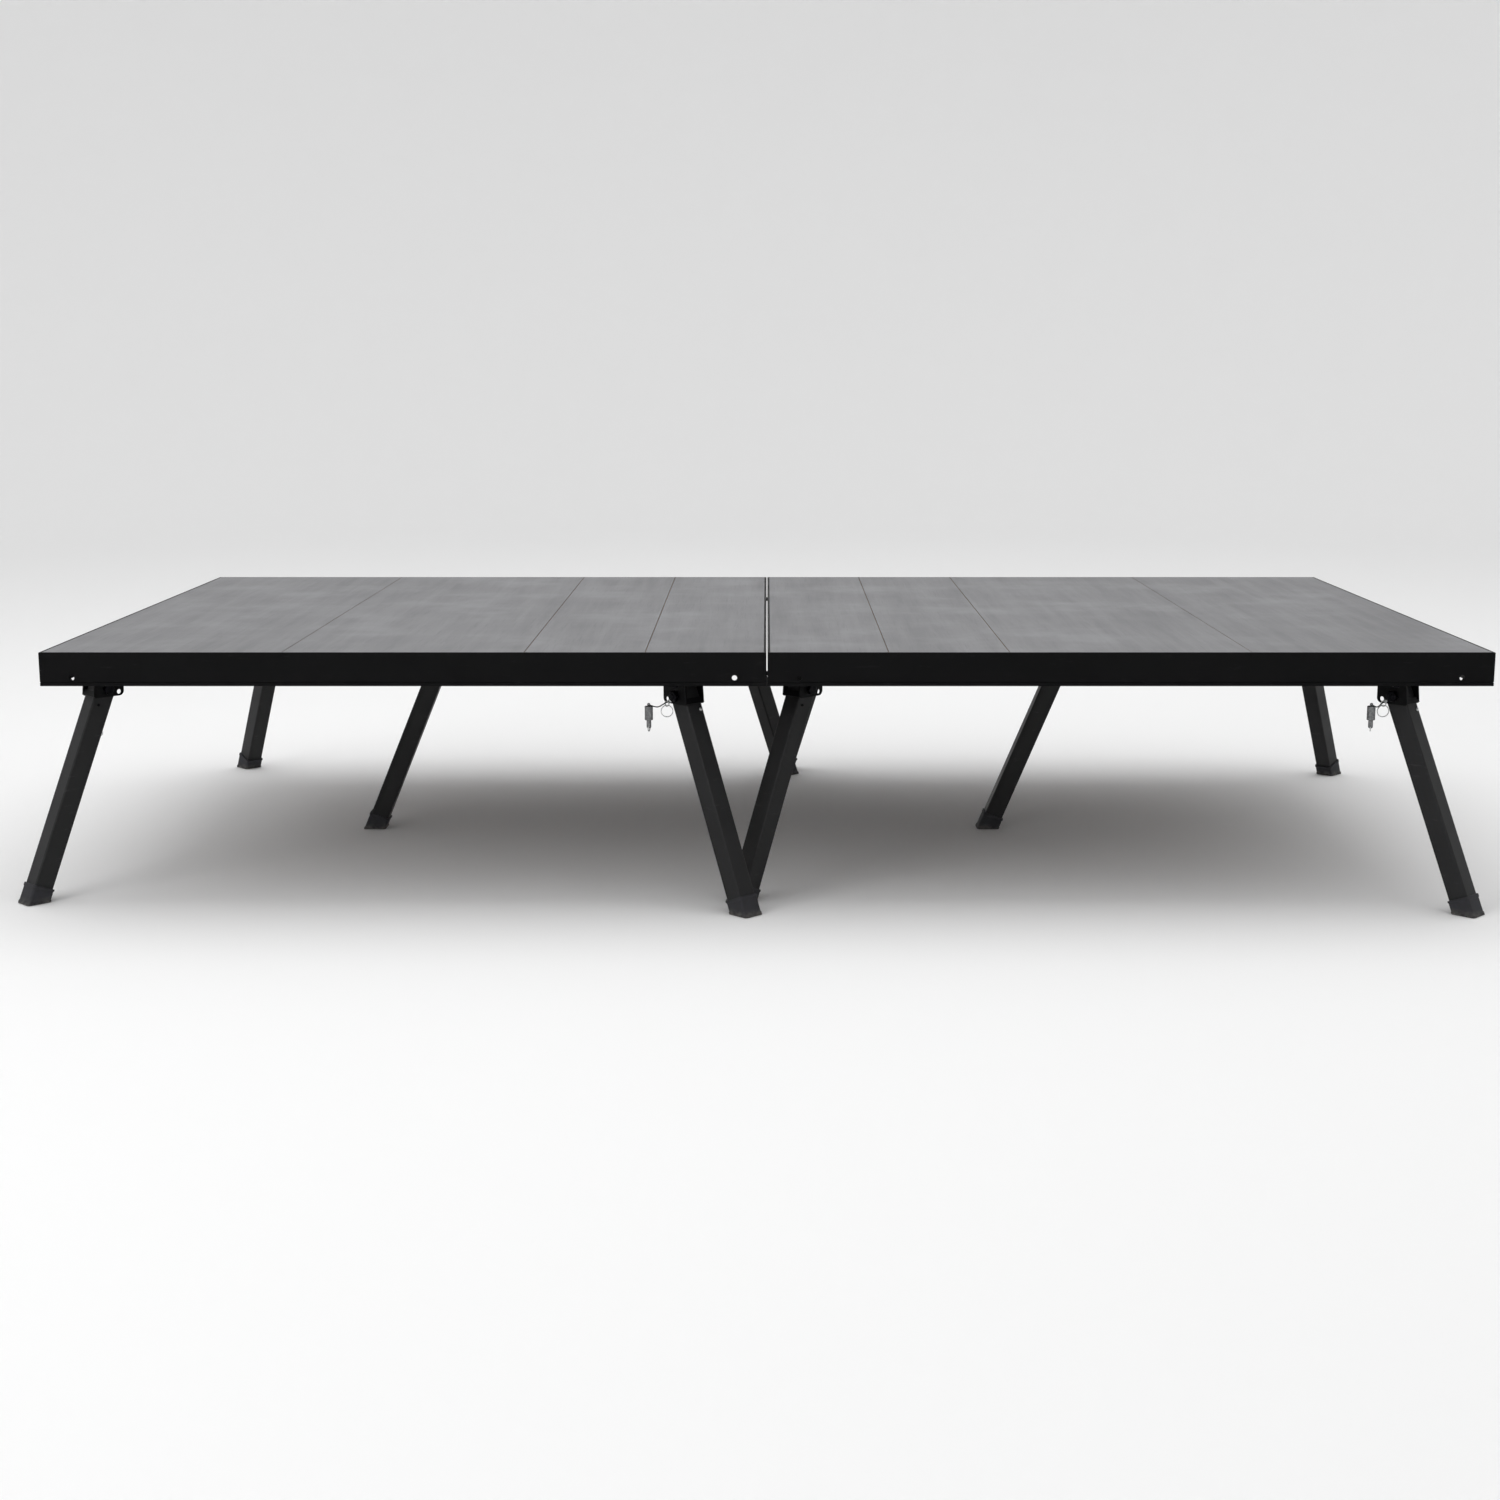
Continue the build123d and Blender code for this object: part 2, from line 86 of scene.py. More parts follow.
def joint_places():
    """Each leg's pivot, and the level directions in which it leans and its bolt runs."""
    found = {}
    for joint in frame["joints"]:
        bolt = np.array(joint["axis"], float)
        out = np.array([bolt[1], -bolt[0], 0.0])
        found[joint["child"]] = (np.array(joint["pos_m"], float), out, bolt)
    return found


PLACES = joint_places()


def from_pivot(leg, points):
    """Points given as (outwards, along the bolt, up) from a leg's pivot, in the shared frame."""
    pivot, out, bolt = PLACES[leg]
    points = np.asarray(points, float)
    return pivot + points[..., :1] * out + points[..., 1:2] * bolt + points[..., 2:] * UP


def down_leg(leg, across, along, down):
    """A point given across a leg (outwards), along its bolt and down its length."""
    out = across * math.cos(LEAN) + down * math.sin(LEAN)
    up = across * math.sin(LEAN) - down * math.cos(LEAN)
    return from_pivot(leg, np.stack(np.broadcast_arrays(out, along, up), -1))


# ---------------------------------------------------------------- surfaces as grids

def make_piece(name, shapes, finish, body, crease=35):
    """One piece at the origin from (points, faces) shapes, smooth but for edges over crease degrees."""
    points, faces, first = [], [], 0
    for shape_points, shape_faces in shapes:
        points.append(shape_points)
        faces += [[corner + first for corner in face] for face in shape_faces]
        first += len(shape_points)
    mesh = bpy.data.meshes.new(name)
    mesh.from_pydata(np.concatenate(points).tolist(), [], faces)
    mesh.shade_smooth()
    mesh.set_sharp_from_angle(angle=math.radians(crease))
    mesh.materials.append(finish)
    piece = bpy.data.objects.new(name, mesh)
    bpy.context.scene.collection.objects.link(piece)
    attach(piece, body)
    return piece


def grid_faces(rows, columns):
    """The quads between neighbouring rings of a grid; each ring closes on itself."""
    r, c = np.meshgrid(np.arange(rows - 1), np.arange(columns), indexing="ij")
    here, right = r * columns + c, r * columns + (c + 1) % columns
    return np.stack([here, right, right + columns, here + columns], -1).reshape(-1, 4).tolist()


def closed_stack(rings):
    """Rings (rows, columns, 3) joined in order, each end closed by a fan to its ring's middle.
    The rings turn left about the direction in which the stack runs."""
    rows, columns = rings.shape[:2]
    here = np.arange(columns)
    after = (here + 1) % columns
    start, end, last = rows * columns, rows * columns + 1, (rows - 1) * columns
    first_fan = np.stack([np.full(columns, start), after, here], -1).tolist()
    last_fan = np.stack([np.full(columns, end), last + here, last + after], -1).tolist()
    points = np.concatenate([rings.reshape(-1, 3), [rings[0].mean(0), rings[-1].mean(0)]])
    return points, grid_faces(rows, columns) + first_fan + last_fan


def side_axes(axis):
    """Two directions square to an axis and to each other; the second is a left turn from the first."""
    axis = np.asarray(axis, float) / np.linalg.norm(axis)
    across = np.cross(axis, UP if abs(axis[2]) < 0.9 else (1.0, 0.0, 0.0))
    across /= np.linalg.norm(across)
    return axis, across, np.cross(axis, across)


def turned(foot, axis, profile, columns=48, shape=None):
    """A turned shape: a profile of (radius, height along the axis) carried round the axis.
    shape(angle, radius, height) may change the radius, for flats, knurls and flutes."""
    radius, height = np.asarray(profile, float).T[..., None]
    axis, across, over = side_axes(axis)
    angle = np.linspace(0, 2 * np.pi, columns, endpoint=False)[None]
    if shape is None:
        radius = np.broadcast_to(radius, (len(radius), columns))
    else:
        radius = shape(angle, radius, height)
    spoke = np.cos(angle)[..., None] * across + np.sin(angle)[..., None] * over
    return closed_stack(np.asarray(foot, float) + spoke * radius[..., None] + axis * height[..., None])


def tube_along(path, radius, sides=10):
    """A wire: a circle carried along a path, its spokes turned as little as the path lets them."""
    path = np.asarray(path, float)
    run = np.gradient(path, axis=0)
    run /= np.linalg.norm(run, axis=1, keepdims=True)
    plane = np.linalg.svd(path - path.mean(0))[2][2]
    across = np.cross(run, plane)
    across /= np.linalg.norm(across, axis=1, keepdims=True)
    over = np.cross(run, across)
    angle = np.linspace(0, 2 * np.pi, sides, endpoint=False)[None, :, None]
    spoke = np.cos(angle) * across[:, None] + np.sin(angle) * over[:, None]
    return closed_stack(path[:, None] + radius * spoke)


def split_ring(centre, axis, radius, wire, turns=1.9, steps=72):
    """A split ring: a wire carried round almost two turns, which shift sideways past each other."""
    axis, across, over = side_axes(axis)
    t = np.linspace(-0.5, 0.5, steps)[:, None]
    angle = 2 * np.pi * turns * t + 1.0
    shift = np.clip(4 * t, -1, 1) * wire
    spoke = np.cos(angle) * across + np.sin(angle) * over
    return tube_along(centre + radius * spoke + shift * axis, wire, 8)


def hexagon(foot, axis, flats, high):
    """A hexagon head or nut: at each height the lesser of a hexagon and of the chamfer's cone."""
    apothem, chamfer = flats / 2, 0.1 * high

    def flat_sides(angle, limit, _):
        sides = apothem / np.cos(angle % (np.pi / 3) - np.pi / 6)
        return np.minimum(sides, limit)

    rows = ((0.97, 0), (1.16, chamfer), (1.16, high - 2 * chamfer), (1.08, high - chamfer), (0.92, high))
    return turned(foot, axis, [(share * apothem, up) for share, up in rows], 72, flat_sides)


def threaded_end(foot, axis, radius, high, pitch):
    """A bolt's end: its radius dips once every pitch, and the tip is chamfered."""
    height = np.arange(0, high + pitch / 8, pitch / 4)
    dip = 0.55 * pitch * (0.5 - 0.5 * np.cos(2 * np.pi * height / pitch))
    tip = np.clip(height - (high - 0.8 * pitch), 0, None)
    return turned(foot, axis, np.column_stack([radius - np.maximum(dip, tip), height]), 32)


def domed(foot, axis, radius, high):
    """A rivet or button head: straight for a third of its height, then a quarter of an ellipse."""
    angle = np.linspace(0, np.pi / 2, 9)[:-1]
    rim = 0.3 * high
    profile = np.column_stack([radius * np.cos(angle), rim + (high - rim) * np.sin(angle)])
    return turned(foot, axis, np.vstack([[radius, 0], profile]), 32)


# ---------------------------------------------------------------- materials

def linear(code):
    """An sRGB hex colour as linear red, green, blue and alpha."""
    c = np.array([int(code[i : i + 2], 16) for i in (0, 2, 4)]) / 255
    c = np.where(c <= 0.04045, c / 12.92, ((c + 0.055) / 1.055) ** 2.4)
    return (*c.tolist(), 1.0)


def add_node(tree, kind, inputs, **settings):
    """Adds a node with its settings. inputs gives each input, by name or number, a value or the
    output that it is linked to."""
    node = tree.nodes.new(kind)
    for key, value in settings.items():
        setattr(node, key, value)
    for key, value in inputs.items():
        if isinstance(value, bpy.types.NodeSocket):
            tree.links.new(value, node.inputs[key])
        else:
            node.inputs[key].default_value = value
    return node.outputs


def start_material(name):
    """A material with its tree, its shader and its Object coordinates, in metres."""
    material = bpy.data.materials.new(name)
    material.use_nodes = True
    tree = material.node_tree
    shader = next(node for node in tree.nodes if node.type == "BSDF_PRINCIPLED")
    return material, tree, shader, add_node(tree, "ShaderNodeTexCoord", {})["Object"]


def powder_coat(name, body, light, scuffed, rough, gloss):
    """Polyester powder coat on steel, sprayed and baked. The eye gets a black that is never quite
    even, a soft sheen broken by orange peel, and paler scuffs and dust from handling."""
    material, tree, shader, place = start_material(name)
    # Clouds of film thickness are about 90 mm across.
    cloud = add_node(tree, "ShaderNodeTexNoise", {"Vector": place, "Scale": 1 / 0.09, "Detail": 4})["Fac"]
    share = add_node(tree, "ShaderNodeMapRange", {"Value": cloud, 1: 0.35, 2: 0.65})["Result"]
    paint = add_node(
        tree, "ShaderNodeMix", {0: share, 6: linear(body), 7: linear(light)}, data_type="RGBA"
    )[2]
    # Scuffs are about 12 mm long and drawn out level, as things slide past.
    level = add_node(tree, "ShaderNodeMapping", {"Vector": place, "Scale": (0.3, 0.3, 1.6)})["Vector"]
    rub = add_node(
        tree, "ShaderNodeTexNoise", {"Vector": level, "Scale": 1 / 0.012, "Detail": 7, "Roughness": 0.72}
    )["Fac"]
    worn = add_node(tree, "ShaderNodeMapRange", {"Value": rub, 1: 0.6, 2: 0.78, 4: 0.55})["Result"]
    colour = add_node(
        tree, "ShaderNodeMix", {0: worn, 6: paint, 7: linear(scuffed)}, data_type="RGBA"
    )[2]
    tree.links.new(colour, shader.inputs["Base Color"])
    drift = {"Value": cloud, 1: 0.3, 2: 0.7, 3: rough - 0.06, 4: rough + 0.06}
    sheen = add_node(tree, "ShaderNodeMapRange", drift)["Result"]
    dull = add_node(tree, "ShaderNodeMath", {0: worn, 1: 0.25, 2: sheen}, operation="MULTIPLY_ADD")[0]
    tree.links.new(dull, shader.inputs["Roughness"])
    shader.inputs["Specular IOR Level"].default_value = gloss
    # Orange peel is about 1 mm across. It is drawn 2.5 mm across, so that it shows.
    peel = add_node(tree, "ShaderNodeTexNoise", {"Vector": place, "Scale": 1 / 0.0025, "Detail": 1})["Fac"]
    bump = add_node(tree, "ShaderNodeBump", {"Height": peel, "Strength": 0.6, "Distance": 0.00012})
    tree.links.new(bump["Normal"], shader.inputs["Normal"])
    return material


def film_faced_plywood():
    """Phenolic film on birch plywood, hot pressed. The top is mid grey, with streaks of the face
    veneer along each board, a fine grit that takes the shine off, and traffic scuffs. The edges
    show the plies, and the underside shows bare brown backing film over the grain."""
    material, tree, shader, place = start_material("film_faced_plywood")
    normal = add_node(tree, "ShaderNodeNewGeometry", {})["Normal"]
    facing = add_node(tree, "ShaderNodeSeparateXYZ", {"Vector": normal})["Z"]
    # The face veneer's streaks are 20 to 40 mm wide and run half a metre, front to back.
    veneer = add_node(tree, "ShaderNodeMapping", {"Vector": place, "Scale": (1, 0.055, 1)})["Vector"]
    streak = add_node(
        tree, "ShaderNodeTexNoise", {"Vector": veneer, "Scale": 1 / 0.03, "Detail": 5, "Roughness": 0.62}
    )["Fac"]
    streaks = add_node(tree, "ShaderNodeMapRange", {"Value": streak, 1: 0.33, 2: 0.68})["Result"]
    grey = add_node(
        tree, "ShaderNodeMix", {0: streaks, 6: linear("727274"), 7: linear("7f7f81")}, data_type="RGBA"
    )[2]
    # Single pores are under 1 mm wide. They are drawn 3 mm wide, so that they show.
    pores = add_node(tree, "ShaderNodeMapping", {"Vector": place, "Scale": (1, 0.03, 1)})["Vector"]
    pore = add_node(
        tree, "ShaderNodeTexNoise", {"Vector": pores, "Scale": 1 / 0.003, "Detail": 3, "Roughness": 0.6}
    )["Fac"]
    lines = add_node(tree, "ShaderNodeMapRange", {"Value": pore, 1: 0.56, 2: 0.74, 4: 0.5})["Result"]
    grained = add_node(
        tree, "ShaderNodeMix", {0: lines, 6: grey, 7: linear("656568")}, data_type="RGBA"
    )[2]
    # Traffic wears pale patches a hand wide, and leaves marks about 10 mm long.
    patch = add_node(tree, "ShaderNodeTexNoise", {"Vector": place, "Scale": 1 / 0.16, "Detail": 5})["Fac"]
    trodden = add_node(tree, "ShaderNodeMapRange", {"Value": patch, 1: 0.5, 2: 0.72, 4: 0.45})["Result"]
    walked = add_node(
        tree, "ShaderNodeMix", {0: trodden, 6: grained, 7: linear("87878a")}, data_type="RGBA"
    )[2]
    mark = add_node(
        tree, "ShaderNodeTexNoise", {"Vector": place, "Scale": 1 / 0.01, "Detail": 9, "Roughness": 0.78}
    )["Fac"]
    marked = add_node(tree, "ShaderNodeMapRange", {"Value": mark, 1: 0.64, 2: 0.74, 4: 0.4})["Result"]
    top = add_node(
        tree, "ShaderNodeMix", {0: marked, 6: walked, 7: linear("9e9e9e")}, data_type="RGBA"
    )[2]
    # Nine plies in 12 mm make a wave of dark glue lines every 1.33 mm up the edge.
    ply = add_node(
        tree, "ShaderNodeTexWave", {"Vector": place, "Scale": 0.314 / 0.00133 / 2, "Distortion": 0.4},
        bands_direction="Z",
    )["Fac"]
    edge = add_node(
        tree, "ShaderNodeMix", {0: ply, 6: linear("6b4a2f"), 7: linear("b58d5f")}, data_type="RGBA"
    )[2]
    upper = add_node(tree, "ShaderNodeMapRange", {"Value": facing, 1: 0.2, 2: 0.4})["Result"]
    sides = add_node(tree, "ShaderNodeMix", {0: upper, 6: edge, 7: top}, data_type="RGBA")[2]
    backing = add_node(
        tree, "ShaderNodeMix", {0: streaks, 6: linear("3a2518"), 7: linear("5b3d28")}, data_type="RGBA"
    )[2]
    lower = add_node(tree, "ShaderNodeMapRange", {"Value": facing, 1: -0.6, 2: -0.4})["Result"]
    colour = add_node(tree, "ShaderNodeMix", {0: lower, 6: backing, 7: sides}, data_type="RGBA")[2]
    tree.links.new(colour, shader.inputs["Base Color"])
    rough = add_node(tree, "ShaderNodeMapRange", {"Value": patch, 1: 0.3, 2: 0.7, 3: 0.7, 4: 0.56})["Result"]
    tree.links.new(rough, shader.inputs["Roughness"])
    shader.inputs["Specular IOR Level"].default_value = 0.35
    # The anti-slip grit is about 0.8 mm. It is drawn at 2 mm, so that it shows.
    grit = add_node(tree, "ShaderNodeTexNoise", {"Vector": place, "Scale": 1 / 0.002, "Detail": 2})["Fac"]
    relief = add_node(tree, "ShaderNodeMath", {0: pore, 1: 0.8, 2: grit}, operation="MULTIPLY_ADD")[0]
    bump = add_node(tree, "ShaderNodeBump", {"Height": relief, "Strength": 0.5, "Distance": 0.0003})
    tree.links.new(bump["Normal"], shader.inputs["Normal"])
    return material


def moulded_rubber():
    """EPDM rubber, compression moulded. The eye gets a matt charcoal with a grey bloom, a fine
    spark-eroded texture from the mould, and floor dust ground into the foot."""
    material, tree, shader, place = start_material("moulded_rubber")
    bloom = add_node(tree, "ShaderNodeTexNoise", {"Vector": place, "Scale": 1 / 0.011, "Detail": 5})["Fac"]
    share = add_node(tree, "ShaderNodeMapRange", {"Value": bloom, 1: 0.33, 2: 0.68})["Result"]
    rubber = add_node(
        tree, "ShaderNodeMix", {0: share, 6: linear("1f1f22"), 7: linear("2b2b30")}, data_type="RGBA"
    )[2]
    height = add_node(tree, "ShaderNodeSeparateXYZ", {"Vector": place})["Z"]
    near_floor = add_node(tree, "ShaderNodeMapRange", {"Value": height, 1: 0.012, 2: 0.0, 4: 0.8})["Result"]
    dusty = add_node(tree, "ShaderNodeMath", {0: near_floor, 1: share}, operation="MULTIPLY")[0]
    colour = add_node(
        tree, "ShaderNodeMix", {0: dusty, 6: rubber, 7: linear("66635d")}, data_type="RGBA"
    )[2]
    tree.links.new(colour, shader.inputs["Base Color"])
    rough = add_node(tree, "ShaderNodeMapRange", {"Value": bloom, 1: 0.3, 2: 0.7, 3: 0.62, 4: 0.8})["Result"]
    tree.links.new(rough, shader.inputs["Roughness"])
    shader.inputs["Specular IOR Level"].default_value = 0.35
    # The mould's texture is about 0.3 mm. It is drawn at 1.2 mm, so that it shows.
    texture = add_node(tree, "ShaderNodeTexNoise", {"Vector": place, "Scale": 1 / 0.0012, "Detail": 2})["Fac"]
    bump = add_node(tree, "ShaderNodeBump", {"Height": texture, "Strength": 0.7, "Distance": 0.00012})
    tree.links.new(bump["Normal"], shader.inputs["Normal"])
    return material


def plated_steel(name, dark, bright, low, high):
    """Steel with a plated or blackened skin, barrel finished. The eye gets a metal whose shade and
    gloss drift in soft clouds of 3 mm, with fine rumbling marks."""
    material, tree, shader, place = start_material(name)
    cloud = add_node(tree, "ShaderNodeTexNoise", {"Vector": place, "Scale": 1 / 0.003, "Detail": 4})["Fac"]
    share = add_node(tree, "ShaderNodeMapRange", {"Value": cloud, 1: 0.32, 2: 0.68})["Result"]
    colour = add_node(
        tree, "ShaderNodeMix", {0: share, 6: linear(dark), 7: linear(bright)}, data_type="RGBA"
    )[2]
    tree.links.new(colour, shader.inputs["Base Color"])
    gloss = add_node(tree, "ShaderNodeMapRange", {"Value": cloud, 1: 0.3, 2: 0.7, 3: low, 4: high})["Result"]
    tree.links.new(gloss, shader.inputs["Roughness"])
    shader.inputs["Metallic"].default_value = 1.0
    # Rumbling marks are about 0.2 mm. They are drawn at 0.8 mm, so that they show.
    marks = add_node(tree, "ShaderNodeTexNoise", {"Vector": place, "Scale": 1 / 0.0008, "Detail": 2})["Fac"]
    bump = add_node(tree, "ShaderNodeBump", {"Height": marks, "Strength": 0.5, "Distance": 0.00003})
    tree.links.new(bump["Normal"], shader.inputs["Normal"])
    return material


def extruded_vinyl():
    """Soft PVC drawn tight over wire rope. The eye gets a glossy black, rippled by the strands."""
    material, tree, shader, place = start_material("extruded_vinyl")
    # The strands lie about 1.5 mm apart.
    strand = add_node(tree, "ShaderNodeTexNoise", {"Vector": place, "Scale": 1 / 0.0015, "Detail": 1})["Fac"]
    share = add_node(tree, "ShaderNodeMapRange", {"Value": strand, 1: 0.35, 2: 0.65})["Result"]
    colour = add_node(
        tree, "ShaderNodeMix", {0: share, 6: linear("0c0c0d"), 7: linear("1a1a1c")}, data_type="RGBA"
    )[2]
    tree.links.new(colour, shader.inputs["Base Color"])
    gloss = add_node(tree, "ShaderNodeMapRange", {"Value": strand, 1: 0.3, 2: 0.7, 3: 0.3, 4: 0.46})["Result"]
    tree.links.new(gloss, shader.inputs["Roughness"])
    bump = add_node(tree, "ShaderNodeBump", {"Height": strand, "Strength": 0.6, "Distance": 0.0001})
    tree.links.new(bump["Normal"], shader.inputs["Normal"])
    return material


FRAME_PAINT = powder_coat("frame_powder_coat", "070708", "0a0a0b", "252526", 0.46, 0.08)
LEG_PAINT = powder_coat("leg_powder_coat", "151516", "1b1b1c", "474748", 0.5, 0.27)
PLYWOOD = film_faced_plywood()
RUBBER = moulded_rubber()
ZINC = plated_steel("bright_zinc_plate", "a9adb1", "dcdcd8", 0.22, 0.4)
PIN_STEEL = plated_steel("satin_zinc_plate", "5e5f61", "8b8c8c", 0.34, 0.5)
BLACKED = plated_steel("black_oxide_steel", "0d0d0e", "1d1d20", 0.36, 0.52)
VINYL = extruded_vinyl()

FINISHES = (
    ("_board_", PLYWOOD),
    ("_shoe_", RUBBER),
    ("_leg_shelves", FRAME_PAINT),
    ("_leg_brackets", FRAME_PAINT),
    ("_leg_", LEG_PAINT),
    ("_rail_", FRAME_PAINT),
    ("_joists", FRAME_PAINT),
    ("lanyard_rivets", ZINC),
    ("lanyard_rings", ZINC),
    ("_lanyard_", VINYL),
    ("lock_pins", PIN_STEEL),
    ("_bolts", BLACKED),
    ("_nuts", BLACKED),
)

for name, node in frame["nodes"].items():
    node.data.materials.clear()
    node.data.materials.append(next(finish for part, finish in FINISHES if part in name))


# ---------------------------------------------------------------- camera, light and floor

def make_camera():
    """The eye: 3.6 m before the front edge, half a metre above the deck, looking a little down."""
    data = bpy.data.cameras.new("eye")
    data.sensor_width, data.lens, data.shift_x = 36.0, 51.71, -0.0113
    camera = bpy.data.objects.new("eye", data)
    camera.location = (0.0, -4.1851, DECK_TOP + 0.4978)
    camera.rotation_euler = (math.radians(90 - 10.516), 0.0, 0.0)
    bpy.context.scene.collection.objects.link(camera)
    bpy.context.scene.camera = camera


def add_softbox(name, place, aim, size, power):
    """A large, even light."""
    data = bpy.data.lights.new(name, "AREA")
    data.shape, data.size, data.size_y, data.energy = "RECTANGLE", *size, power
    lamp = bpy.data.objects.new(name, data)
    lamp.location = place
    lamp.rotation_euler = (Vector(aim) - Vector(place)).to_track_quat("-Z", "Y").to_euler()
    bpy.context.scene.collection.objects.link(lamp)


def make_stage():
    """A pale floor that curves up all round into a pale wall, under soft lights."""
    material, tree, shader, place = start_material("studio_paper")
    shader.inputs["Base Color"].default_value = linear("f2f2f2")
    shader.inputs["Roughness"].default_value = 0.95
    shader.inputs["Specular IOR Level"].default_value = 0.0
    # A floor of radius 7 m, then a quarter round of radius 3 m and a wall 5 m high
    turn = np.linspace(0, np.pi / 2, 16)
    radius = np.concatenate([[0.001, 4.0], 7.0 + 3.0 * np.sin(turn), [10.0]])
    height = np.concatenate([[0, 0], 3.0 - 3.0 * np.cos(turn), [8.0]]) - 0.0005
    angle = np.linspace(0, 2 * np.pi, 96, endpoint=False)
    points = np.stack(
        [np.outer(radius, np.cos(angle)), np.outer(radius, np.sin(angle)), np.outer(height, np.ones(96))], -1
    )
    mesh = bpy.data.meshes.new("floor")
    mesh.from_pydata(points.reshape(-1, 3).tolist(), [], grid_faces(len(radius), 96))
    mesh.shade_smooth()
    mesh.materials.append(material)
    floor = bpy.data.objects.new("floor", mesh)
    bpy.context.scene.collection.objects.link(floor)
    world = bpy.data.worlds.new("studio")
    world.use_nodes = True
    background = next(node for node in world.node_tree.nodes if node.type == "BACKGROUND")
    background.inputs["Color"].default_value = linear("ffffff")
    background.inputs["Strength"].default_value = 0.9
    bpy.context.scene.world = world
    add_softbox("overhead", (0.0, 0.5, 4.2), (0.0, 0.0, 0.4), (5.0, 3.5), 60)
    add_softbox("front_left", (-3.4, -4.0, 2.4), (0.0, 0.0, 0.2), (2.4, 1.6), 45)
    bpy.context.scene.view_settings.view_transform = "Standard"


make_camera()
make_stage()


# ---------------------------------------------------------------- lanyards, pins and rings

# Routes in mm from each leg's pivot: inwards, sideways away from the bolt's head, and up.
LANYARDS = {
    "front_left": ((13, 24.0, -10), (14, 35, -13), (17, 46, -23), (20, 54, -36), (22, 58, -50)),
    "front_right": ((13, 24.0, -10), (13, 36, -13), (11, 49, -17), (10, 61, -15), (11, 72, -10)),
    "back_right": ((13, 24.0, -10), (15, 34, -12), (18, 45, -20), (19, 54, -31), (19, 60, -44)),
    "back_left": ((13, 24.0, -10), (12, 35, -14), (10, 46, -21), (9, 57, -28), (10, 66, -38)),
    "centre": ((13, 24.0, -10), (14, 36, -12), (17, 47, -18), (20, 57, -27), (21, 64, -38)),
}


def make_lanyard(deck, station):
    """A vinyl-covered wire rope on its route, from the bracket's rivet to the lock pin."""
    name = f"{deck}_lanyard_{station}"
    route = from_pivot(f"{deck}_{station}", np.array(LANYARDS[station]) * (-MM, -MM, MM))
    data = bpy.data.curves.new(f"{name}_rope", "CURVE")
    data.dimensions = "3D"
    data.bevel_depth, data.bevel_resolution, data.use_fill_caps = CORD_THICK / 2, 4, True
    spline = data.splines.new("NURBS")
    spline.points.add(len(route) - 1)
    spline.points.foreach_set("co", np.column_stack([route, np.ones(len(route))]).ravel())
    spline.order_u, spline.use_endpoint_u = 3, True
    rope = bpy.data.objects.new(f"{name}_rope", data)
    bpy.context.scene.collection.objects.link(rope)
    rope.data.materials.append(VINYL)
    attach(rope, "frame")
    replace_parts(rope, name)
    return rope, route


def lock_pin(end):
    """A lock pin that hangs from a point: a swaged ball, a knurled grip and a nose.
    The knurl is two sets of grooves that wind opposite ways, 0.35 mm deep and fading at each end."""
    ball, grip, grip_long, nose, nose_long = 2.8 * MM, 7 * MM, 24 * MM, 4 * MM, 14 * MM
    top = end - UP * (ball - 0.4 * MM)
    turn = np.linspace(0, np.pi, 14)[1:-1]
    outline = np.column_stack([ball * np.sin(turn), ball * (1 - np.cos(turn))])
    sphere = turned(end + UP * ball, -UP, outline, 24)
    rows = np.linspace(KNURL_START, grip_long - KNURL_END, 50)
    knurled = np.column_stack([np.full(50, grip), rows])
    head = [(grip - 1.6 * MM, 0), (grip - 0.5 * MM, 0.2 * MM), (grip, 0.9 * MM), (grip, 2.0 * MM)]
    tail = [
        (grip, grip_long - 1.2 * MM),
        (grip - 0.4 * MM, grip_long - 0.3 * MM),
        (grip - 1.2 * MM, grip_long),
    ]

    def knurl(angle, radius, height):
        fade_in = np.clip((height - KNURL_START) / MM, 0, 1)
        fade_out = np.clip((grip_long - KNURL_END - height) / MM, 0, 1)
        wind = height / (10 * MM) * 2 * np.pi
        groove = np.abs(np.sin(9 * angle + wind)) * np.abs(np.sin(9 * angle - wind))
        return radius - KNURL_DEPTH * fade_in * fade_out * (1 - groove)

    handle = turned(top, -UP, head + knurled.tolist() + tail, 108, knurl)
    foot = top - UP * grip_long
    neck = [(nose - 0.3 * MM, -0.5 * MM), (nose - 0.3 * MM, 1.2 * MM), (nose, 1.6 * MM)]
    tip = [
        (nose, nose_long - 2.2 * MM),
        (nose - 0.8 * MM, nose_long - 0.5 * MM),
        (nose - 1.6 * MM, nose_long),
    ]
    return [sphere, handle, turned(foot, -UP, neck + tip, 32)], foot - UP * (nose_long - 4 * MM)


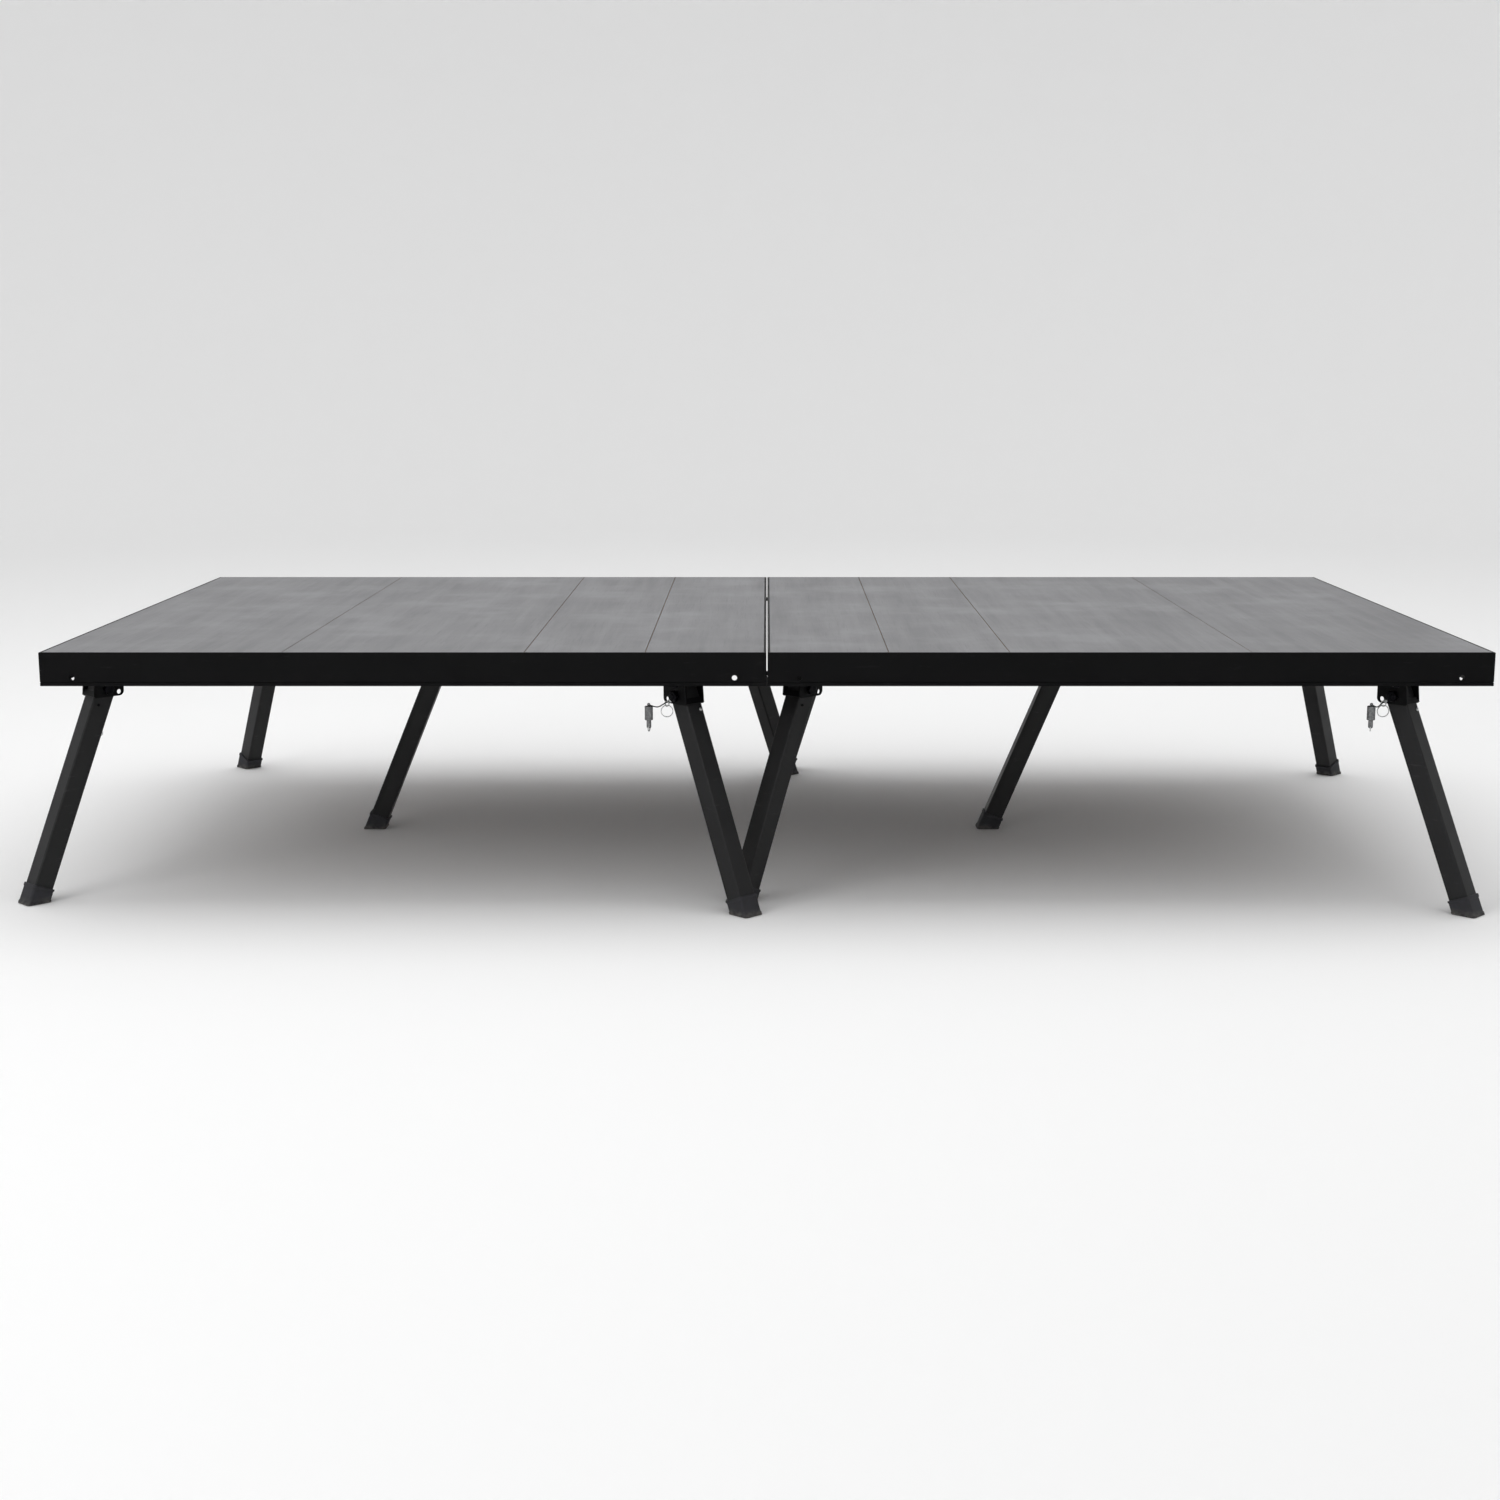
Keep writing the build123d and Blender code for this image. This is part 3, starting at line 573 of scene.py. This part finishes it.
def make_pin_set(deck, station):
    """A leg's lanyard with its pin and the keeper ring through the pin's nose, its rivet, and the
    two rings that hang from its start."""
    leg = f"{deck}_{station}"
    _, out, bolt = PLACES[leg]
    rope, route = make_lanyard(deck, station)
    shapes, nose = lock_pin(route[-1])
    pin = make_piece(f"{leg}_lock_pin", shapes, PIN_STEEL, "frame", 50)
    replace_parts(pin, "lock_pins")
    ring = split_ring(nose - UP * (KEEPER_RADIUS - 0.2 * MM), out + 0.5 * bolt, KEEPER_RADIUS, KEEPER_WIRE)
    keeper = make_piece(f"{leg}_pin_keeper", [ring], ZINC, "frame", 60)
    foot = from_pivot(leg, (-13 * MM, -CHEEK_REACH, -10 * MM))
    rivet = make_piece(
        f"{leg}_rivet_head", [domed(foot, -bolt, 3.6 * MM, 3.4 * MM)], ZINC, "frame", 50
    )
    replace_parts(rivet, "lanyard_rivets")
    run = (route[1] - route[0]) / np.linalg.norm(route[1] - route[0])
    hang, play = 0.9 * MM, 0.1 * MM
    link = route[0] + run * 4.8 * MM - UP * (SMALL_RING_RADIUS - hang - CORD_THICK / 2 - play)
    low = link - UP * (SMALL_RING_RADIUS + SPLIT_RING_RADIUS - 2 * hang - play)
    askew = math.radians(-40)
    aside = out * math.cos(askew) + bolt * math.sin(askew)
    rings = [
        split_ring(link, bolt, SMALL_RING_RADIUS, RING_WIRE),
        split_ring(low, aside, SPLIT_RING_RADIUS, RING_WIRE),
    ]
    rings = make_piece(f"{leg}_split_rings", rings, ZINC, "frame", 60)
    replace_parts(rings, "lanyard_rings")


for deck in DECKS:
    for station in STATIONS:
        make_pin_set(deck, station)


# ---------------------------------------------------------------- shoes and leg fittings

def rounded_square(side, corner, steps=6):
    """An outline of four straight sides joined by quarter circles, turning left."""
    quarter = np.repeat(np.arange(4), steps)
    angle = (quarter + np.tile(np.linspace(0, 1, steps), 4)) * np.pi / 2
    middle = (quarter + 0.5) * np.pi / 2
    centres = np.sqrt(2) * (side / 2 - corner) * np.stack([np.cos(middle), np.sin(middle)], -1)
    return centres + corner * np.stack([np.cos(angle), np.sin(angle)], -1)


def make_shoe(deck, station):
    """A moulded rubber shoe. Each ring is the leg's outline grown by a share of the wall, at a share
    of the way from the mouth, which is square to the leg, to the floor, which is level. Lips at
    the mouth and the foot stand proud of a slimmer waist, and the sole is dished."""
    leg, name = f"{deck}_{station}", f"{deck}_shoe_{station}"
    height = PLACES[leg][0][2]
    mouth = height / math.cos(LEAN) - SHOE_LONG
    wall = (SHOE_SIDE - LEG_SIDE) / 2
    rows = (
        (-0.35, 0.05), (0.05, 0.0), (0.72, 0.0), (0.93, 0.012), (1.0, 0.045), (1.0, 0.13),
        (0.94, 0.155), (0.72, 0.175), (0.66, 0.21), (0.66, 0.80), (0.74, 0.835), (0.96, 0.86),
        (1.0, 0.885), (1.0, 0.96), (0.93, 0.988), (0.6, 1.0), (-0.2, 1.0),
    )
    rings = []
    for share, way in rows:
        corner = LEG_CORNER + 0.7 * wall * max(share, 0)
        across, along = rounded_square(LEG_SIDE + 2 * wall * share, corner)[::-1].T
        floor = (height + across * math.sin(LEAN)) / math.cos(LEAN)
        rings.append(down_leg(leg, across, along, mouth + way * (floor - mouth)))
    sole = rings[-1]
    middle = sole.mean(0)
    for scale, dish in ((0.95, 0.0), (0.9, SOLE_DISH), (0.2, SOLE_DISH)):
        rings.append(middle + (sole - middle) * scale + UP * dish)
    shoe = make_piece(f"{name}_moulding", [closed_stack(np.array(rings))], RUBBER, leg, 45)
    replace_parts(shoe, name)


def make_leg_fittings(deck):
    """Small fittings on a deck's two front legs: a rubber buffer and a steel button on the right
    leg, and a screw's end on the left one."""
    right, left = f"{deck}_front_right", f"{deck}_front_left"
    half = LEG_SIDE / 2
    fitting_down = 32 * MM
    out = PLACES[right][1]
    normal = out * math.cos(LEAN) + UP * math.sin(LEAN)
    foot = down_leg(right, half, 11 * MM, fitting_down)
    make_piece(f"{right}_button", [domed(foot, normal, 3.2 * MM, 2.4 * MM)], ZINC, right, 50)
    # The buffer is a squarish oval, |down / 12 mm|^(2 / 0.45) + |across / 6 mm|^(2 / 0.45) = 1,
    # that shrinks by the shares as it rises.
    half_long, half_wide, squareness, columns = 12 * MM, 6 * MM, 0.45, 40
    middle_down, middle_across = 118 * MM, 4 * MM
    rise = np.array([0, 0.5, 1.0, 1.0]) * 3.2 * MM
    share = np.array([1.0, 0.97, 0.8, 0.3])
    angle = np.linspace(2 * np.pi, 0, columns, endpoint=False)
    lengthwise = half_long * np.sign(np.cos(angle)) * np.abs(np.cos(angle)) ** squareness
    crosswise = half_wide * np.sign(np.sin(angle)) * np.abs(np.sin(angle)) ** squareness
    down = middle_down + np.outer(share, lengthwise)
    across = middle_across + np.outer(share, crosswise)
    rings = down_leg(right, across, half + np.repeat(rise, columns).reshape(len(rise), columns), down)
    make_piece(f"{right}_buffer", [closed_stack(rings)], RUBBER, right, 45)
    foot = down_leg(left, 6 * MM, half, fitting_down)
    screw = threaded_end(foot, PLACES[left][2], 2.0 * MM, 3.6 * MM, 0.7 * MM)
    make_piece(f"{left}_screw_end", [screw], BLACKED, left, 50)


# ---------------------------------------------------------------- bolts and nuts

def make_pivot_bolts():
    """Every leg's pivot bolt and nut: chamfered hexagons with a washer face against the bracket,
    and a thread that stands 2 mm out of the nut."""
    flats, head, nut, proud, radius = 17 * MM, 6.4 * MM, 8 * MM, 2 * MM, 5 * MM
    bolts, nuts = [], []
    for pivot, _, bolt in PLACES.values():
        bolts.append(hexagon(pivot + bolt * CHEEK_REACH, bolt, flats, head))
        shank = [(radius, 0), (radius, 2 * CHEEK_REACH + nut - proud)]
        bolts.append(turned(pivot + bolt * CHEEK_REACH, -bolt, shank, 32))
        thread = pivot - bolt * (CHEEK_REACH + nut - proud)
        bolts.append(threaded_end(thread, -bolt, radius, 2 * proud, 1.25 * MM))
        nuts.append(hexagon(pivot - bolt * CHEEK_REACH, -bolt, flats, nut))
    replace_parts(make_piece("pivot_bolts_turned", bolts, BLACKED, "frame", 25), "pivot_bolts")
    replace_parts(make_piece("pivot_nuts_turned", nuts, BLACKED, "frame", 25), "pivot_nuts")


def make_bracket_screws():
    """The four hex screws under each bracket's flanges, with their threads above the shelf."""
    flats, head, radius, buried, proud = 10 * MM, 4 * MM, 3 * MM, 7 * MM, 4 * MM
    places = ((-18 * MM, -27.5 * MM), (8 * MM, -27.5 * MM), (-18 * MM, 27.5 * MM), (8 * MM, 27.5 * MM))
    screws = []
    for leg in PLACES:
        for out, along in places:
            foot = from_pivot(leg, (out, along, FLANGE_DROP))
            screws.append(hexagon(foot, -UP, flats, head))
            screws.append(turned(foot, UP, [(radius, 0), (radius, buried)], 24))
            screws.append(threaded_end(foot + UP * buried, UP, radius, proud, 1.0 * MM))
    screws = make_piece("bracket_screws_turned", screws, BLACKED, "frame", 25)
    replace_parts(screws, "bracket_bolts")


for deck in DECKS:
    for station in STATIONS:
        make_shoe(deck, station)
    make_leg_fittings(deck)
make_pivot_bolts()
make_bracket_screws()
